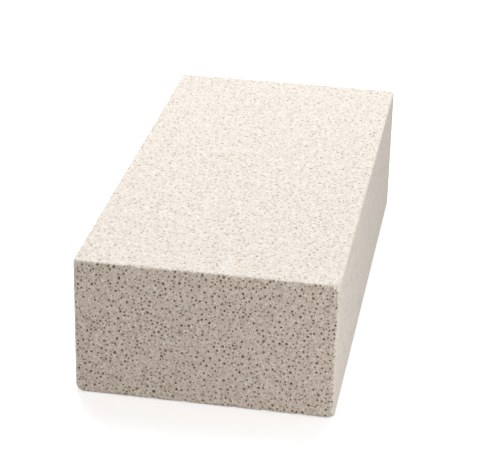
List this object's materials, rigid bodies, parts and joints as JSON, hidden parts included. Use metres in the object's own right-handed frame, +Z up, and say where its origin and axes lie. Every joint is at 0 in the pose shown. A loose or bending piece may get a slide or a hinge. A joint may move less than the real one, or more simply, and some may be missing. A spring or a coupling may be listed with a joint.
{
  "type": "refractory firebrick",
  "caption": "Rectangular insulating firebrick with six flat faces, porous all through, for lining kilns, furnaces and hearths.",
  "frame": {"origin": "middle of the bottom bed, on the surface that the brick lies on", "axes": "+X along the length to the far header, +Y across the width to the far stretcher, +Z up through the thickness"},
  "size_m": [0.23, 0.114, 0.064],
  "materials": {
    "fired_clay": "matt cream fired clay with open pores"
  },
  "bodies": {
    "root": {"firebrick": "fired_clay"}
  },
  "joints": []
}
